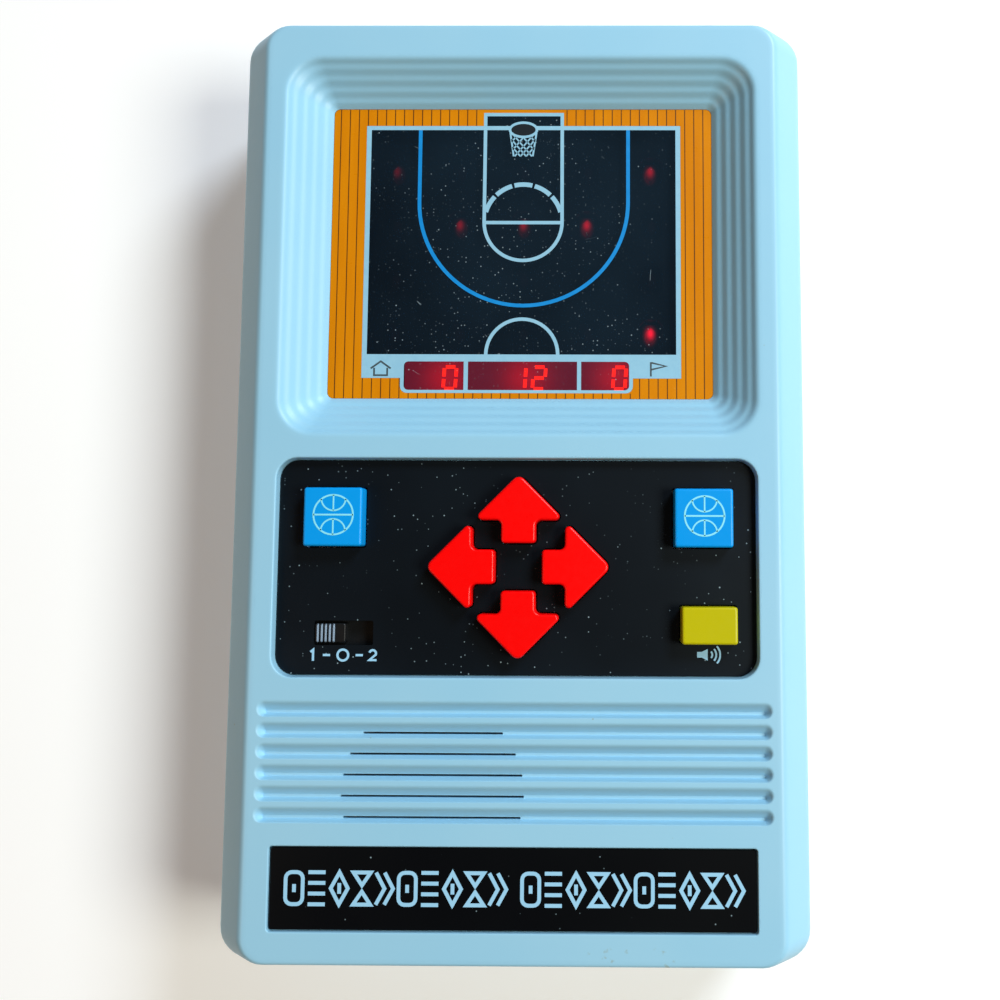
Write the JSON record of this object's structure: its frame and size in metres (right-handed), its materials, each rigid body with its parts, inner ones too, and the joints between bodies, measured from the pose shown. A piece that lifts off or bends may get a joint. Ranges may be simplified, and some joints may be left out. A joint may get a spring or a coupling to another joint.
{
  "type": "handheld electronic game",
  "caption": "Handheld electronic ball game with a stepped display well, arrow pad, square side buttons, slide switch, slotted speaker grille and a battery bay behind.",
  "frame": {"origin": "middle of the rear face, on the surface that the game lies on", "axes": "+X to the player's right, +Y towards the top end with the display, +Z out of the face"},
  "size_m": [0.09, 0.145, 0.0313],
  "materials": {
    "case_plastic": "fine satin moulded plastic with a soft sheen",
    "smoked_window": "smoked acrylic, printed from behind",
    "black_plastic": "matt black moulded plastic",
    "lamp_lens": "clear red lamp lens",
    "digit_block": "dark seven-segment display block",
    "title_print": "gloss black plate with a pale printed pattern",
    "panel_print": "satin black printed panel",
    "red_button": "smooth bright red plastic",
    "blue_button": "smooth bright blue plastic",
    "yellow_button": "smooth yellow plastic",
    "switch_shell": "pressed steel shell",
    "keypad_rubber": "translucent grey silicone rubber",
    "circuit_board": "brown phenolic board",
    "speaker_steel": "pressed steel basket and magnet cup",
    "speaker_paper": "dark doped paper cone",
    "screw_steel": "zinc-plated screw",
    "contact_steel": "nickel-plated spring steel",
    "red_wire": "red insulation",
    "black_wire": "black insulation",
    "battery_sleeve": "printed cell sleeve with bare metal ends"
  },
  "bodies": {
    "case": {"front_casing": "case_plastic", "rear_casing": "case_plastic", "display_window": "smoked_window", "light_mask": "black_plastic", "court_lamp_1_1": "lamp_lens", "court_lamp_1_2": "lamp_lens", "court_lamp_1_3": "lamp_lens", "court_lamp_1_4": "lamp_lens", "court_lamp_1_5": "lamp_lens", "court_lamp_2_1": "lamp_lens", "court_lamp_2_2": "lamp_lens", "court_lamp_2_3": "lamp_lens", "court_lamp_2_4": "lamp_lens", "court_lamp_2_5": "lamp_lens", "court_lamp_3_1": "lamp_lens", "court_lamp_3_2": "lamp_lens", "court_lamp_3_3": "lamp_lens", "court_lamp_3_4": "lamp_lens", "court_lamp_3_5": "lamp_lens", "court_lamp_4_1": "lamp_lens", "court_lamp_4_2": "lamp_lens", "court_lamp_4_3": "lamp_lens", "court_lamp_4_4": "lamp_lens", "court_lamp_4_5": "lamp_lens", "home_digits": "digit_block", "clock_digits": "digit_block", "visitor_digits": "digit_block", "title_plate": "title_print", "control_panel": "panel_print", "power_switch_body": "switch_shell", "rubber_keypad": "keypad_rubber", "main_circuit_board": "circuit_board", "chip_cover": "black_plastic", "speaker_frame": "speaker_steel", "speaker_cone": "speaker_paper", "case_screw_1": "screw_steel", "case_screw_2": "screw_steel", "case_screw_3": "screw_steel", "case_screw_4": "screw_steel", "contact_positive": "contact_steel", "contact_negative": "contact_steel", "contact_bridge_left": "contact_steel", "contact_bridge_right": "contact_steel", "battery_wire_black": "black_wire", "battery_wire_red": "red_wire", "speaker_wire_red": "red_wire", "speaker_wire_black": "black_wire", "battery_1": "battery_sleeve", "battery_2": "battery_sleeve", "battery_3": "battery_sleeve"},
    "door": {"battery_door": "case_plastic", "battery_door_screw": "screw_steel"},
    "arrow_button_up_body": {"arrow_button_up": "red_button"},
    "arrow_button_left_body": {"arrow_button_left": "red_button"},
    "arrow_button_down_body": {"arrow_button_down": "red_button"},
    "arrow_button_right_body": {"arrow_button_right": "red_button"},
    "shoot_button_left_body": {"shoot_button_left": "blue_button"},
    "shoot_button_right_body": {"shoot_button_right": "blue_button"},
    "sound_button_body": {"sound_button": "yellow_button"},
    "power_slider_body": {"power_slider": "black_plastic"}
  },
  "joints": [
    {"name": "arrow_up_press", "type": "slide", "parent": "case", "child": "arrow_button_up_body", "axis": [0, 0, -1], "range_m": [0, 0.001], "stiffness_N_per_m": 500, "springref_m": -0.0002, "deforming": ["rubber_keypad"]},
    {"name": "arrow_left_press", "type": "slide", "parent": "case", "child": "arrow_button_left_body", "axis": [0, 0, -1], "range_m": [0, 0.001], "stiffness_N_per_m": 500, "springref_m": -0.0002, "deforming": ["rubber_keypad"]},
    {"name": "arrow_down_press", "type": "slide", "parent": "case", "child": "arrow_button_down_body", "axis": [0, 0, -1], "range_m": [0, 0.001], "stiffness_N_per_m": 500, "springref_m": -0.0002, "deforming": ["rubber_keypad"]},
    {"name": "arrow_right_press", "type": "slide", "parent": "case", "child": "arrow_button_right_body", "axis": [0, 0, -1], "range_m": [0, 0.001], "stiffness_N_per_m": 500, "springref_m": -0.0002, "deforming": ["rubber_keypad"]},
    {"name": "shoot_left_press", "type": "slide", "parent": "case", "child": "shoot_button_left_body", "axis": [0, 0, -1], "range_m": [0, 0.001], "stiffness_N_per_m": 500, "springref_m": -0.0002, "deforming": ["rubber_keypad"]},
    {"name": "shoot_right_press", "type": "slide", "parent": "case", "child": "shoot_button_right_body", "axis": [0, 0, -1], "range_m": [0, 0.001], "stiffness_N_per_m": 500, "springref_m": -0.0002, "deforming": ["rubber_keypad"]},
    {"name": "sound_press", "type": "slide", "parent": "case", "child": "sound_button_body", "axis": [0, 0, -1], "range_m": [0, 0.001], "stiffness_N_per_m": 500, "springref_m": -0.0002, "deforming": ["rubber_keypad"]},
    {"name": "power_slide", "type": "slide", "parent": "case", "child": "power_slider_body", "axis": [1, 0, 0], "range_m": [0, 0.004]},
    {"name": "battery_door_swing", "type": "hinge", "parent": "case", "child": "door", "pos_m": [0, -0.0179, 0.0004], "axis": [1, 0, 0], "range_deg": [0, 75]}
  ]
}
